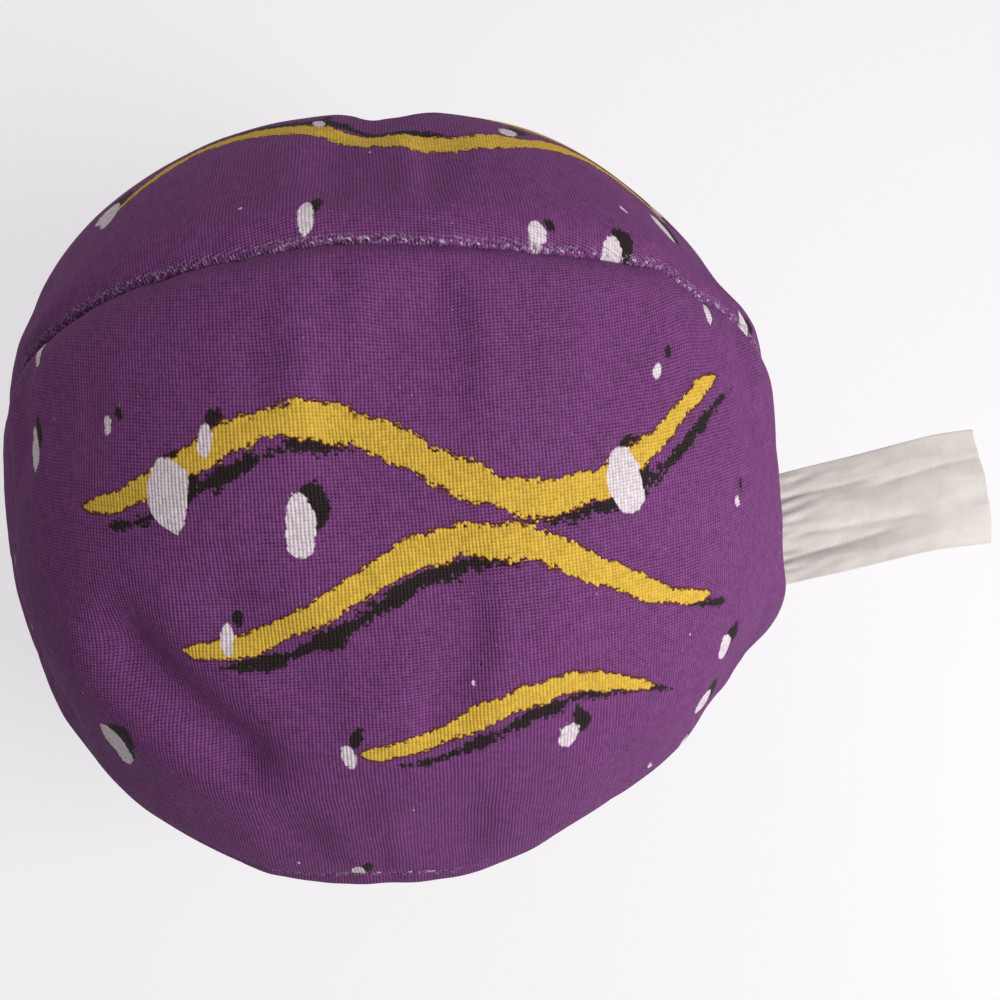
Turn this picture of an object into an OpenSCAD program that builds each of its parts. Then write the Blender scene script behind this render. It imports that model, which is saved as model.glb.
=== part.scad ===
// Soft pool football: a stretch-knit cover of four sewn panels round a cloth bag of foam beads,
// with a ribbon label caught in the end of its last seam.
// The long axis is X, the ball rests on Z = 0, and the origin is the middle of its resting face.

/* [Ball] */
// Length from tip to tip
ball_len = 154; // [120:1:240]
// Diameter round the middle
girth_d = 152; // [110:1:200]
// Bluntness of the ends: 2 is an ellipse, more is blunter
end_power = 2.2; // [2:0.05:2.6]
// How far the soft base flattens where the ball rests
base_sink = 2.5; // [0.5:0.25:4]
// Turn of the perimeter seam above the front horizon, in degrees
seam_turn = 20; // [20:1:70]

/* [Cover] */
// Thickness of the knit
cloth_t = 1; // [0.6:0.1:2]
// Width of the seam allowance that is turned in along each panel edge
hem_w = 6; // [4:0.5:8]
// Gap between two panel edges at a seam
seam_gap = 0.6; // [0.5:0.05:1]
// How far the panels crown above the seam lines
crown_h = 1.4; // [0:0.1:3]
// Depth of the valley that the stitches pull along a seam
valley_h = 1.8; // [0.5:0.1:3]
// Width of that valley on each side of the seam
valley_w = 10; // [8:0.5:14]

/* [Stitching] */
// Diameter of the seam thread
thread_d = 0.35; // [0.25:0.05:0.4]
// Length of one machine stitch
stitch_len = 2.8; // [2:0.1:5]
// How far above the inner face of the hems a machine stitch stops
stitch_rest = 0.6; // [0.3:0.1:1.2]
// Length of the hand-sewn closure of the filling gap
closing_len = 60; // [30:1:90]
// Distance between the rungs of the hand stitch
rung_step = 5; // [3:0.5:8]
// Width of a rung across the seam
rung_w = 2.4; // [1.6:0.1:4]

/* [Bead bag] */
// Thickness of the bag's cloth
bag_t = 0.6; // [0.4:0.1:1.2]
// Gap between the bag's two halves, which its thread fills
bag_gap = 0.6; // [0.5:0.05:1]
// Diameter of the bag's thread
bag_thread_d = 0.35; // [0.2:0.05:0.4]

/* [Label] */
// Width of the ribbon
label_w = 26; // [15:0.5:32]
// Length of the ribbon outside the seam, along its middle
label_len = 56; // [25:1:80]
// Slant of the ribbon's cut end, in degrees
label_cut = 12; // [0:1:20]
// Thickness of the ribbon
label_t = 0.3; // [0.2:0.05:0.4]
// Distance from the tip to the ribbon's middle, along the seam
label_shift = 15; // [0:1:25]
// Angle of the ribbon to the long axis
label_skew = 10.5; // [0:0.5:20]
// How far the ribbon's free end curls down
label_curl = 2.5; // [0:0.5:6]

/* [Hidden] */

// Driving shape of the skin
half_len = ball_len / 2;
girth_r0 = girth_d / 2;
centre_z = girth_r0 - base_sink;
panel_span = 90;
// Radius at which the panel points stop short of the tip
tip_r = 1.2;
// Radius inside which the crown and valleys fade out towards a tip
fade_r = 25;
// Running gap between layers of cloth
layer_gap = 0.3;
// Slope left at the cut edge of a turned-in hem
hem_edge = 0.8;

// Turns of the seams about the long axis: front horizon is 0, the top is 90
front_seam = seam_turn;
top_seam = seam_turn + panel_span;
back_seam = seam_turn + 2 * panel_span;
under_seam = seam_turn + 3 * panel_span;

// Depths of the layers below the skin
hem_depth = 2 * cloth_t;
stitch_dip = hem_depth - stitch_rest;
bag_depth = hem_depth + layer_gap;
fill_depth = bag_depth + bag_t + layer_gap;

// Mesh of the soft forms. Two middle columns of the base panel fall in the flat patch that it rests on.
stations = 20;
mid_columns = 6;
thread_sides = 4;

knit_purple = "#5b2a5c";
thread_white = "#d9cfdb";
bag_white = "#f2f0ea";
bead_white = "#fbfbf8";
ribbon_white = "#e4dfd6";

function signed_pow(v, p) = sign(v) * pow(abs(v), p);
function to_deg(rad) = rad * 180 / PI;
function unit(v) = v / norm(v);

// Skin of the ball. Station t is 0 at the right tip and 180 at the left one,
// and turn f goes round the long axis.
function axis_x(t) = half_len * signed_pow(cos(t), 2 / end_power);
function girth_r(t) = girth_r0 * pow(max(sin(t), 0), 2 / end_power);
function station_at(r) = asin(pow(min(r / girth_r0, 1), end_power / 2));

// Outward direction of the skin at a station, as its part along X and its part away from the axis
function skin_normal(t) =
    let (p = 2 * (end_power - 1) / end_power)
    unit([signed_pow(cos(t), p) / half_len, pow(abs(sin(t)), p) / girth_r0]);

// A point at a depth below the skin, held at least lift above the floor that the base rests on
function skin(t, f, depth, lift = 0) =
    let (n = skin_normal(t), r = girth_r(t) - depth * n[1])
    [axis_x(t) - depth * n[0], -r * cos(f), max(centre_z + r * sin(f), lift)];

// Angle from a turn to the nearest seam
function from_seam(f) =
    let (a = (f - seam_turn) % panel_span, b = a < 0 ? a + panel_span : a)
    min(b, panel_span - b);

// How far the seams draw the skin in: a broad crown between seams and a narrow stitched valley
function draw(t, f) =
    let (a = from_seam(f), s = girth_r(t) * a * PI / 180, fade = min(1, girth_r(t) / fade_r))
    fade * (crown_h * (1 + cos(4 * a)) / 2 + valley_h * pow(max(0, 1 - s / valley_w), 2));

function cover(t, f, depth) = skin(t, f, draw(t, f) + depth, depth);

// Columns across one panel from turn f0: two edges with a seam allowance, and an even middle.
// Each column is its turn and 1 on the doubled hem or 0 elsewhere.
edge_columns = [0, valley_w / 4, hem_w, hem_w + hem_edge, max(valley_w, hem_w + 2 * hem_edge)];
edge_doubled = [1, 1, 1, 0, 0];
edge_count = len(edge_columns);
// Panel width, in widths of one edge, below which the edge columns close up towards a tip
edge_share = 2.6;

function panel_columns(t, f0, gap) =
    let (
        r = girth_r(t),
        width = r * panel_span * PI / 180 - gap,
        last = edge_columns[edge_count - 1],
        k = min(1, width / (edge_share * last)),
        start = f0 + asin(min(1, gap / 2 / r)),
        turn_per_mm = 180 / PI / r
    )
    concat(
        [for (i = [0:edge_count - 1]) [start + edge_columns[i] * k * turn_per_mm, edge_doubled[i]]],
        [for (i = [1:mid_columns])
            [start + (last * k + (width - 2 * last * k) * i / (mid_columns + 1)) * turn_per_mm, 0]],
        [for (i = [edge_count - 1:-1:0])
            [start + (width - edge_columns[i] * k) * turn_per_mm, edge_doubled[i]]]
    );

first_station = station_at(tip_r);
function station(i) = first_station + (180 - 2 * first_station) * i / stations;

// Columns of the bead bag, which runs under two panels from turn f0 and has no hems
function bag_columns(t, f0, spans) =
    [for (k = [0:spans - 1]) each
        let (c = panel_columns(t, f0 + k * panel_span, bag_gap))
        [for (i = [0:len(c) - 1]) if (i != 2 && i != len(c) - 3) [c[i][0], 0]]];

// Faces of a plate made from loops of 2 * n points, n outside and n inside, one loop a station.
// The inner wall runs backwards, so its cells are cut the other way to lie parallel to the outer wall.
function plate_faces(loops, n) =
    let (m = 2 * n)
    concat(
        [for (i = [0:loops - 2], j = [0:m - 1])
            let (a = i * m + j, b = i * m + (j + 1) % m)
            each j < n ? [[a, a + m, b], [b, a + m, b + m]] : [[a, a + m, b + m], [a, b + m, b]]],
        [for (j = [0:n - 2]) each [[j, j + 1, m - 1 - j], [j + 1, m - 2 - j, m - 1 - j]]],
        [for (j = [0:n - 2])
            let (e = (loops - 1) * m)
            each [[e + j, e + m - 1 - j, e + j + 1], [e + j + 1, e + m - 1 - j, e + m - 2 - j]]]
    );

// One panel of the cover, from the seam at turn f0, with its seam allowances turned in
module cover_panel(f0) {
    rows = [for (i = [0:stations]) panel_columns(station(i), f0, seam_gap)];
    n = len(rows[0]);
    points = [for (i = [0:stations]) each concat(
        [for (j = [0:n - 1]) cover(station(i), rows[i][j][0], 0)],
        [for (j = [n - 1:-1:0]) cover(station(i), rows[i][j][0], cloth_t * (1 + rows[i][j][1]))]
    )];
    polyhedron(points, plate_faces(stations + 1, n));
}

// Half of the bead bag, under the two panels from the seam at turn f0
module bag_half(f0) {
    rows = [for (i = [0:stations]) bag_columns(station(i), f0, 2)];
    n = len(rows[0]);
    points = [for (i = [0:stations]) each concat(
        [for (j = [0:n - 1]) cover(station(i), rows[i][j][0], bag_depth)],
        [for (j = [n - 1:-1:0]) cover(station(i), rows[i][j][0], bag_depth + bag_t)]
    )];
    polyhedron(points, plate_faces(stations + 1, n));
}

// The beads, packed to the shape of the bag's inside
module bead_pack() {
    rows = [for (i = [0:stations]) bag_columns(station(i), seam_turn, 4)];
    n = len(rows[0]);
    ends = [skin(0, 0, fill_depth), skin(180, 0, fill_depth)];
    points = concat(
        [for (i = [0:stations], j = [0:n - 1]) cover(station(i), rows[i][j][0], fill_depth)], ends);
    faces = concat(
        [for (i = [0:stations - 1], j = [0:n - 1])
            let (a = i * n + j, b = i * n + (j + 1) % n)
            each [[a, a + n, b], [b, a + n, b + n]]],
        [for (j = [0:n - 1]) [j, (j + 1) % n, (stations + 1) * n]],
        [for (j = [0:n - 1])
            let (e = stations * n)
            [e + (j + 1) % n, e + j, (stations + 1) * n + 1]]
    );
    polyhedron(points, faces);
}

// A thread of diameter d along a path over the skin
module thread(path, d) {
    last = len(path) - 1;
    middle = [0, 0, centre_z];
    points = [for (i = [0:last])
        let (
            along = unit(path[min(i + 1, last)] - path[max(i - 1, 0)]),
            side = unit(cross(along, path[i] - middle)),
            up = cross(side, along)
        )
        for (k = [0:thread_sides - 1])
            let (a = 360 * k / thread_sides)
            path[i] + d / 2 * (cos(a) * side + sin(a) * up)];
    faces = concat(
        [for (i = [0:last - 1], k = [0:thread_sides - 1])
            let (a = i * thread_sides + k, b = i * thread_sides + (k + 1) % thread_sides)
            each [[a, b, a + thread_sides], [b, b + thread_sides, a + thread_sides]]],
        [for (k = [1:thread_sides - 2]) [0, k + 1, k]],
        [for (k = [1:thread_sides - 2])
            let (e = last * thread_sides)
            [e, e + k, e + k + 1]]
    );
    polyhedron(points, faces);
}

// Machine stitches in the gap of the seam at turn f, which rise and dip between two stations
function lockstitch(f, t0, t1) =
    let (count = 2 * round(abs(t1 - t0) * PI / 180 * half_len / stitch_len))
    [for (i = [0:count]) cover(t0 + (t1 - t0) * i / count, f, i % 2 == 0 ? 0 : stitch_dip)];

// A point of the hand stitch, off the seam at turn f by side millimetres, lying on the cover
hand_clear = 0.15;
hand_lift = thread_d / 2 + hand_clear;
function hand_point(t, f, side) = cover(t, f + to_deg(side / girth_r(t)), -hand_lift);

// Hand-sewn ladder along the seam at turn f: a rung across, then a run to the next rung
function ladder(f, t0, t1) =
    let (count = round((t1 - t0) * PI / 180 * half_len / rung_step))
    [for (i = [0:count], k = [0, 1])
        hand_point(t0 + (t1 - t0) * i / count, f, rung_w / 2 * ((i + k) % 2 == 0 ? 1 : -1))];

// Ends of the label's root along the perimeter seam, from the tip towards the front
label_cross = label_w / cos(label_skew);
label_low = label_shift - label_cross / 2;
label_high = label_shift + label_cross / 2;

// Station where a seam, drawn in by its stitches, lies q from the long axis
function seam_station(q) =
    let (t = station_at(q))
    station_at(q + draw(t, seam_turn) * skin_normal(t)[1]);

// Stations where the stitching starts and stops
thread_start_r = 3;
bag_start_r = 4;
seam_start = station_at(thread_start_r);
stitch_clear = 1.5;
closing_half = to_deg(closing_len / 2 / half_len);
closing_clear = to_deg(stitch_clear / half_len);
front_start = seam_station(label_high + stitch_clear);
back_start = seam_station(max(stitch_clear - label_low, thread_start_r));

module top_seam_thread() {
    color(thread_white) thread(lockstitch(top_seam, seam_start, 180 - seam_start), thread_d);
}

module under_seam_thread() {
    color(thread_white) thread(lockstitch(under_seam, seam_start, 180 - seam_start), thread_d);
}

// The last seam: from the label round the left tip to the filling gap, and on to the label
module perimeter_seam_thread() {
    color(thread_white) {
        thread(concat(
            lockstitch(front_seam, front_start, 180 - seam_start),
            [skin(180, 0, 0)],
            lockstitch(back_seam, 180 - seam_start, 90 + closing_half + closing_clear)
        ), thread_d);
        thread(lockstitch(back_seam, 90 - closing_half - closing_clear, back_start), thread_d);
    }
}

module closing_stitch() {
    color(thread_white) thread(ladder(back_seam, 90 - closing_half, 90 + closing_half), thread_d);
}

module top_panel() { color(knit_purple) cover_panel(front_seam); }
module back_panel() { color(knit_purple) cover_panel(top_seam); }
module base_panel() { color(knit_purple) cover_panel(back_seam); }
module front_panel() { color(knit_purple) cover_panel(under_seam); }

module bag_front_half() { color(bag_white) bag_half(under_seam); }
module bag_back_half() { color(bag_white) bag_half(top_seam); }

// The bag's thread lies in the gap between its halves, in two runs
module bag_thread() {
    depth = bag_depth + bag_t / 2;
    runs = 2 * stations;
    start = station_at(bag_start_r);
    color(bag_white)
        for (f = [top_seam, under_seam])
            thread([for (i = [0:runs])
                cover(start + (180 - 2 * start) * i / runs, f, depth)], bag_thread_d);
}

module bead_fill() { color(bead_white) bead_pack(); }

// The label lies in the plane of the perimeter seam. In that plane, p runs out along X and q runs
// across the tip towards the front.
label_proud = 0.5;
label_joint_gap = 0.3;
// Distance at which the sewn-in end stops above the inner face of the hems
tail_rest = 0.2;
label_steps = 10;
seam_dir = [0, -cos(front_seam), sin(front_seam)];
label_up = [0, sin(front_seam), cos(front_seam)];
axis_point = [0, 0, centre_z];

// Reach of the seam along X at q, at a depth below the cover
function seam_reach(q, depth) =
    cover(station_at(max(abs(q), tip_r)), q < 0 ? back_seam : front_seam, depth)[0];

// The ribbon turns on a straight root line, just clear of the seam's bulge
function label_q(i) = label_low + label_cross * i / label_steps;
root_slope = (seam_reach(label_high, 0) - seam_reach(label_low, 0)) / label_cross;
root_bulge = max([for (i = [0:label_steps])
    seam_reach(label_q(i), 0) - seam_reach(label_low, 0) - root_slope * (label_q(i) - label_low)]);
function root_reach(q) =
    seam_reach(label_low, 0) + root_slope * (q - label_low) + root_bulge + label_proud;

// A point of the seam's plane, raised by lift above it
function in_plane(p, q, lift) = axis_point + [p, 0, 0] + q * seam_dir + lift * label_up;

echo(label_root = [in_plane(root_reach(label_low), label_low, 0), in_plane(root_reach(label_high), label_high, 0)]);

// A thin plate between two edges in the seam's plane, given as [p, q, lift] points
module ribbon(edge_a, edge_b) {
    n = len(edge_a);
    half = label_t / 2;
    points = [for (i = [0:n - 1]) each [
        in_plane(edge_a[i][0], edge_a[i][1], edge_a[i][2] - half),
        in_plane(edge_b[i][0], edge_b[i][1], edge_b[i][2] - half),
        in_plane(edge_b[i][0], edge_b[i][1], edge_b[i][2] + half),
        in_plane(edge_a[i][0], edge_a[i][1], edge_a[i][2] + half)
    ]];
    faces = concat(
        [for (i = [0:n - 2], k = [0:3])
            let (a = 4 * i + k, b = 4 * i + (k + 1) % 4)
            each [[a, a + 4, b], [b, a + 4, b + 4]]],
        [[0, 1, 2], [0, 2, 3]],
        [[4 * n - 4, 4 * n - 2, 4 * n - 3], [4 * n - 4, 4 * n - 1, 4 * n - 2]]
    );
    polyhedron(points, faces);
}

// The sewn-in end of the ribbon, held in the seam from the bag out to the root line
module label_tail() {
    color(ribbon_white) ribbon(
        [for (i = [0:label_steps]) [root_reach(label_q(i)) - label_joint_gap, label_q(i), 0]],
        [for (i = [0:label_steps]) [seam_reach(label_q(i), hem_depth - tail_rest), label_q(i), 0]]
    );
}

// The free ribbon, swept out from the root line with a soft curl
label_dir = [cos(label_skew), -sin(label_skew)];
function root_along(q) = [root_reach(q), q] * label_dir;
label_end = root_along(label_shift) + label_len;

function label_edge(q, side) =
    let (reach = label_end - side * label_w / 2 * tan(label_cut) - root_along(q))
    [for (i = [0:label_steps])
        let (u = i / label_steps)
        [root_reach(q) + reach * u * label_dir[0], q + reach * u * label_dir[1], -label_curl * u * u]];

module label_tag() {
    color(ribbon_white) ribbon(label_edge(label_low, -1), label_edge(label_high, 1));
}

top_panel();
back_panel();
base_panel();
front_panel();
top_seam_thread();
under_seam_thread();
perimeter_seam_thread();
closing_stitch();
bag_front_half();
bag_back_half();
bag_thread();
bead_fill();
label_tail();
label_tag();
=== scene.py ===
import math
import bpy
import numpy as np
from mathutils import Matrix, Vector, noise


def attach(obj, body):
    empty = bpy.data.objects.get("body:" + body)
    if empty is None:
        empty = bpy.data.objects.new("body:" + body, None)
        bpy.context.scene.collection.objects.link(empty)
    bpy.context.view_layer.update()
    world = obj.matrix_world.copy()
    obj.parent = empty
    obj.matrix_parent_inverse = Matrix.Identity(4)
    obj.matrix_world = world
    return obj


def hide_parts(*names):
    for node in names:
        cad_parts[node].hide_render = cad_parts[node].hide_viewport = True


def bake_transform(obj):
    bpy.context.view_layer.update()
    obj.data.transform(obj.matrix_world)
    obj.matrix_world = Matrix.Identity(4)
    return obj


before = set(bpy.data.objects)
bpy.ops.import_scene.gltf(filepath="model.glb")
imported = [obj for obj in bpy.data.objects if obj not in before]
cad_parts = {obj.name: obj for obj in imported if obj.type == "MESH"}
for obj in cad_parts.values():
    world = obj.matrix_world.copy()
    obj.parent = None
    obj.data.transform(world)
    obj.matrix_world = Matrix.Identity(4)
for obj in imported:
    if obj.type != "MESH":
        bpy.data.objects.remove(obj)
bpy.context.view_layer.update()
bpy.ops.object.select_all(action="DESELECT")
print("frame loaded,", len(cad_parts), "nodes")

mm = 0.001
fullTurn = 2 * math.pi
scene = bpy.context.scene

# driving shape of the ball, as the CAD has it: station 0 is the right tip and 180 the left one,
# turn 0 is the front horizon and 90 the top
ball = {
    "halfLen": 77 * mm, "girthR": 76 * mm, "endPower": 2.2, "centreZ": 73.5 * mm,
    "seamTurn": 20.0, "span": 90.0, "crown": 1.4 * mm, "valley": 1.8 * mm, "valleyWide": 10 * mm,
    "fadeR": 25 * mm, "floorRound": 0.8 * mm,
}
ballMiddle = np.array([0, 0, ball["centreZ"]])
seamNames = ["front", "top", "back", "under"]
turnOf = {seam: ball["seamTurn"] + ball["span"] * k for k, seam in enumerate(seamNames)}


def eased(x):
    return x * x * (3 - 2 * x)


def axisX(t):
    c = np.cos(np.radians(t))
    return ball["halfLen"] * np.sign(c) * np.abs(c) ** (2 / ball["endPower"])


def girth(t):
    return ball["girthR"] * np.clip(np.sin(np.radians(t)), 0, 1) ** (2 / ball["endPower"])


def stationAt(r):
    return np.degrees(np.arcsin(np.minimum(np.asarray(r) / ball["girthR"], 1) ** (ball["endPower"] / 2)))


def skinNormal(t):
    p = 2 * (ball["endPower"] - 1) / ball["endPower"]
    c = np.cos(np.radians(t))
    s = np.sin(np.radians(t))
    along = np.sign(c) * np.abs(c) ** p / ball["halfLen"]
    out = np.abs(s) ** p / ball["girthR"]
    size = np.hypot(along, out)
    return along / size, out / size


# a point below the skin; the resting patch is rounded into the floor instead of cut flat
def skinPoint(t, f, depth):
    along, out = skinNormal(t)
    r = girth(t) - depth * out
    z = ball["centreZ"] + r * np.sin(np.radians(f))
    z = (z + np.sqrt(z * z + ball["floorRound"] ** 2)) / 2
    return np.stack([axisX(t) - depth * along, -r * np.cos(np.radians(f)), z], axis=-1)


def bothTips(depth):
    return skinPoint(np.array([0.0, 180.0]), np.array([0.0, 0.0]), depth)


def fromSeam(f):
    a = np.mod(f - ball["seamTurn"], ball["span"])
    return np.minimum(a, ball["span"] - a)


def seamReach(t, f):
    return girth(t) * np.radians(fromSeam(f))


def drawnIn(t, f):
    fade = np.minimum(1, girth(t) / ball["fadeR"])
    broad = ball["crown"] * (1 + np.cos(np.radians(360 / ball["span"] * fromSeam(f)))) / 2
    narrow = ball["valley"] * np.clip(1 - seamReach(t, f) / ball["valleyWide"], 0, None) ** 2
    return fade * (broad + narrow)


# soft dents (deep) and swells (minus deep) of the filling, each along a line from one place to another
# given as (station, turn)
dents = [
    {"start": (121.2, 62.3), "end": (108, 48.6), "deep": 4.0 * mm, "wide": 5.0 * mm},
    {"start": (128, 57), "end": (112, 42), "deep": -1.0 * mm, "wide": 7 * mm},
    {"start": (107.5, 67.5), "end": (98.5, 59), "deep": 2.0 * mm, "wide": 6 * mm},
    {"start": (109, 15.5), "end": (97, 17.5), "deep": -1.3 * mm, "wide": 5 * mm},
    {"start": (91, 18), "end": (76, 16), "deep": -1.3 * mm, "wide": 5 * mm},
    {"start": (105, 33), "end": (100, 26), "deep": 1.1 * mm, "wide": 4.5 * mm},
    {"start": (29, 118), "end": (31, 112), "deep": -2.4 * mm, "wide": 12 * mm},
    {"start": (42, 136), "end": (48, 140), "deep": 1.8 * mm, "wide": 20 * mm},
    {"start": (156, 66), "end": (151, 44), "deep": 2.3 * mm, "wide": 18 * mm},
    {"start": (107, 12), "end": (92, 11), "deep": -0.9 * mm, "wide": 18 * mm},
    {"start": (66, 13), "end": (40, 26), "deep": 2.8 * mm, "wide": 15 * mm},
    {"start": (27, 40), "end": (24, 26), "deep": -3.8 * mm, "wide": 11 * mm},
    {"start": (161, 115), "end": (159, 72), "deep": 1.3 * mm, "wide": 22 * mm},
    {"start": (20, 112), "end": (20, 52), "deep": 1.2 * mm, "wide": 19 * mm},
    {"start": (70, 215), "end": (100, 228), "deep": 1.5 * mm, "wide": 16 * mm},
    {"start": (120, 180), "end": (96, 165), "deep": 1.0 * mm, "wide": 12 * mm},
    {"start": (62, 330), "end": (84, 345), "deep": 1.1 * mm, "wide": 13 * mm},
]


def dentDepth(points):
    total = np.zeros(points.shape[:-1])
    for dent in dents:
        a = skinPoint(*dent["start"], 0)
        b = skinPoint(*dent["end"], 0)
        line = b - a
        share = np.clip(((points - a) @ line) / max(line @ line, 1e-12), 0, 1)
        away = np.linalg.norm(points - a - share[..., None] * line, axis=-1)
        total += dent["deep"] * np.exp(-(away / dent["wide"]) ** 2)
    return total


# seams don't run quite true: (station, degrees) that each one strays, which fades over strayWide degrees
strayWide = 15.0
straying = {
    "top": [
        (14, 0), (28, 4.0), (37, 4.8), (42, 5.2), (47, 3.4), (50, 3.7), (55, 4.7), (61, 2.5), (66, 1.6),
        (72, 0.6), (79, 0.3), (85, 0.3), (90, 1.0), (95, 1.5), (103, 1.2), (115, 1.6), (122, 2.2),
        (132, 2.6), (147, 5.0), (158, 3.0), (168, 0)],
    "front": [
        (45, 0), (62, -2.0), (74, -3.6), (80, -4.0), (86, -2.8), (91, -1.6), (96, -1.8), (101, -2.9),
        (107, -4.4), (114, -4.0), (128, -1.4), (142, 0)],
    "back": [(35, 0), (60, 1.6), (85, -1.2), (112, 1.8), (145, 0)],
    "under": [(35, 0), (64, -1.4), (92, 0.9), (118, -1.1), (145, 0)],
}


def strayed(t, f):
    shift = np.zeros(np.broadcast(t, f).shape)
    for seam, line in straying.items():
        stations, amounts = zip(*line)
        away = np.mod(f - turnOf[seam] + 180, 360) - 180
        shift += np.interp(t, stations, amounts) * np.exp(-(away / strayWide) ** 2)
    return f + shift


# meridian lengths, to space the stations evenly along the cloth; an arc is measured from the middle
fineT = np.linspace(0, 180, 7201)
fineXr = np.stack([axisX(fineT), girth(fineT)], axis=-1)
fineArc = np.concatenate([[0], np.cumsum(np.linalg.norm(np.diff(fineXr, axis=0), axis=1))])
halfArc = fineArc[-1] / 2


def arcAt(t):
    return np.interp(t, fineT, fineArc) - halfArc


def stationAtArc(arc):
    return np.interp(arc + halfArc, fineArc, fineT)


def stationsBy(count, tipR):
    first = np.interp(stationAt(tipR), fineT, fineArc)
    return np.interp(np.linspace(first, 2 * halfArc - first, count), fineArc, fineT)


# faces of a grid of points, row by row; a closed one joins its last column to its first
def gridFaces(rows, columns, closed):
    faces = []
    for i in range(rows - 1):
        for j in range(columns if closed else columns - 1):
            k = (j + 1) % columns
            faces.append((i * columns + j, (i + 1) * columns + j, (i + 1) * columns + k, i * columns + k))
    return faces


# fans that close both ends of such a grid onto two more points
def tipFaces(rows, columns):
    faces = []
    last = (rows - 1) * columns
    for j in range(columns):
        k = (j + 1) % columns
        faces.append((j, k, rows * columns))
        faces.append((last + k, last + j, rows * columns + 1))
    return faces


def meshPiece(name, points, faces, uvName=None, pattern=None):
    mesh = bpy.data.meshes.new(name)
    mesh.from_pydata([tuple(p) for p in points], [], faces)
    mesh.polygons.foreach_set("use_smooth", np.ones(len(faces), bool))
    if uvName:
        corners = np.zeros(len(mesh.loops), int)
        mesh.loops.foreach_get("vertex_index", corners)
        mesh.uv_layers.new(name=uvName).data.foreach_set("uv", np.array(pattern)[corners].ravel())
    piece = bpy.data.objects.new(name, mesh)
    scene.collection.objects.link(piece)
    return piece


def addWall(piece, thickness, offset):
    wall = piece.modifiers.new("wall", "SOLIDIFY")
    wall.thickness = thickness
    wall.offset = offset


def addSmooth(piece):
    smooth = piece.modifiers.new("smooth", "SUBSURF")
    smooth.levels = 1
    smooth.render_levels = 1


# cloth simulation of the whole cover: seams, tips and the resting patch held, a little air inside
cloth = {
    "stations": 84, "columns": 24, "tipR": 1.2 * mm, "under": 1.5 * mm, "underReach": 18 * mm,
    "floorFade": 6 * mm, "heldBelow": 1.2 * mm, "frames": 20, "cap": 2.6 * mm, "seamFade": 5 * mm,
    "settings": {
        "quality": 7, "mass": 0.2, "tension_stiffness": 20, "compression_stiffness": 20,
        "shear_stiffness": 8, "bending_stiffness": 0.3, "shrink_min": -0.012,
        "use_pressure": True, "uniform_pressure_force": 4.0,
    },
}


def swellCloth():
    rows = stationsBy(cloth["stations"], cloth["tipR"])
    count = 4 * cloth["columns"]
    turns = ball["seamTurn"] + np.arange(count) * 360 / count
    t, f = np.meshgrid(rows, turns, indexing="ij")
    raised = np.clip(skinPoint(t, f, 0)[..., 2] / cloth["floorFade"], 0, 1)
    slack = cloth["under"] * np.clip(seamReach(t, f) / cloth["underReach"], 0, 1) * raised
    start = skinPoint(t, f, drawnIn(t, f) + slack)
    points = np.concatenate([start.reshape(-1, 3), bothTips(0)])
    faces = gridFaces(len(rows), count, True) + tipFaces(len(rows), count)
    piece = meshPiece("coverCloth", points, faces)
    mesh = piece.data
    held = np.zeros(start.shape[:2], bool)
    held[:, ::cloth["columns"]] = True
    held[:2] = True
    held[-2:] = True
    held |= start[..., 2] < cloth["heldBelow"]
    tips = [len(points) - 2, len(points) - 1]
    pins = piece.vertex_groups.new(name="held")
    pins.add(np.flatnonzero(held.ravel()).tolist() + tips, 1.0, "REPLACE")
    sim = piece.modifiers.new("knit", "CLOTH")
    for key, value in cloth["settings"].items():
        setattr(sim.settings, key, value)
    sim.settings.vertex_group_mass = "held"
    sim.settings.effector_weights.gravity = 0
    sim.collision_settings.use_collision = False
    sim.point_cache.frame_start = 1
    sim.point_cache.frame_end = cloth["frames"]
    for step in range(1, cloth["frames"] + 1):
        scene.frame_set(step)
    done = piece.evaluated_get(bpy.context.evaluated_depsgraph_get())
    flat = np.zeros(len(points) * 3, np.float32)
    done.data.vertices.foreach_get("co", flat)
    moved = flat.reshape(-1, 3)[:-2].reshape(start.shape).astype(float) - start
    bpy.data.objects.remove(piece)
    bpy.data.meshes.remove(mesh)
    scene.frame_set(1)
    size = np.linalg.norm(moved, axis=-1, keepdims=True)
    moved *= cloth["cap"] * np.tanh(size / cloth["cap"]) / np.maximum(size, 1e-9)
    along, out = skinNormal(t)
    normal = np.stack([along, -out * np.cos(np.radians(f)), out * np.sin(np.radians(f))], axis=-1)
    moved -= slack[..., None] * normal
    print("cover simulated, moved up to", round(float(size.max()) / mm, 2), "mm")
    return rows, moved


simRows, simMoved = swellCloth()


# weights of the four neighbours on a smooth curve through them
def cubic(x):
    return np.stack([
        ((-x + 2) * x - 1) * x / 2, ((3 * x - 5) * x * x + 2) / 2,
        ((-3 * x + 4) * x + 1) * x / 2, (x - 1) * x * x / 2], axis=-1)


# what the simulation adds at any place on the cover
def swollen(t, f):
    total = np.zeros(np.broadcast(t, f).shape + (3,))
    if simRows is None:
        return total
    count = simMoved.shape[1]
    i = np.clip(np.interp(t, simRows, np.arange(len(simRows))), 0, len(simRows) - 1.001)
    j = np.mod((f - ball["seamTurn"]) * count / 360, count)
    wi = cubic(i % 1)
    wj = cubic(j % 1)
    for a in range(4):
        row = np.clip(np.floor(i).astype(int) + a - 1, 0, len(simRows) - 1)
        for b in range(4):
            column = np.mod(np.floor(j).astype(int) + b - 1, count)
            total += (wi[..., a] * wj[..., b])[..., None] * simMoved[row, column]
    edge = np.clip(seamReach(t, f) / cloth["seamFade"], 0, 1)
    return total * eased(edge)[..., None]


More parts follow.
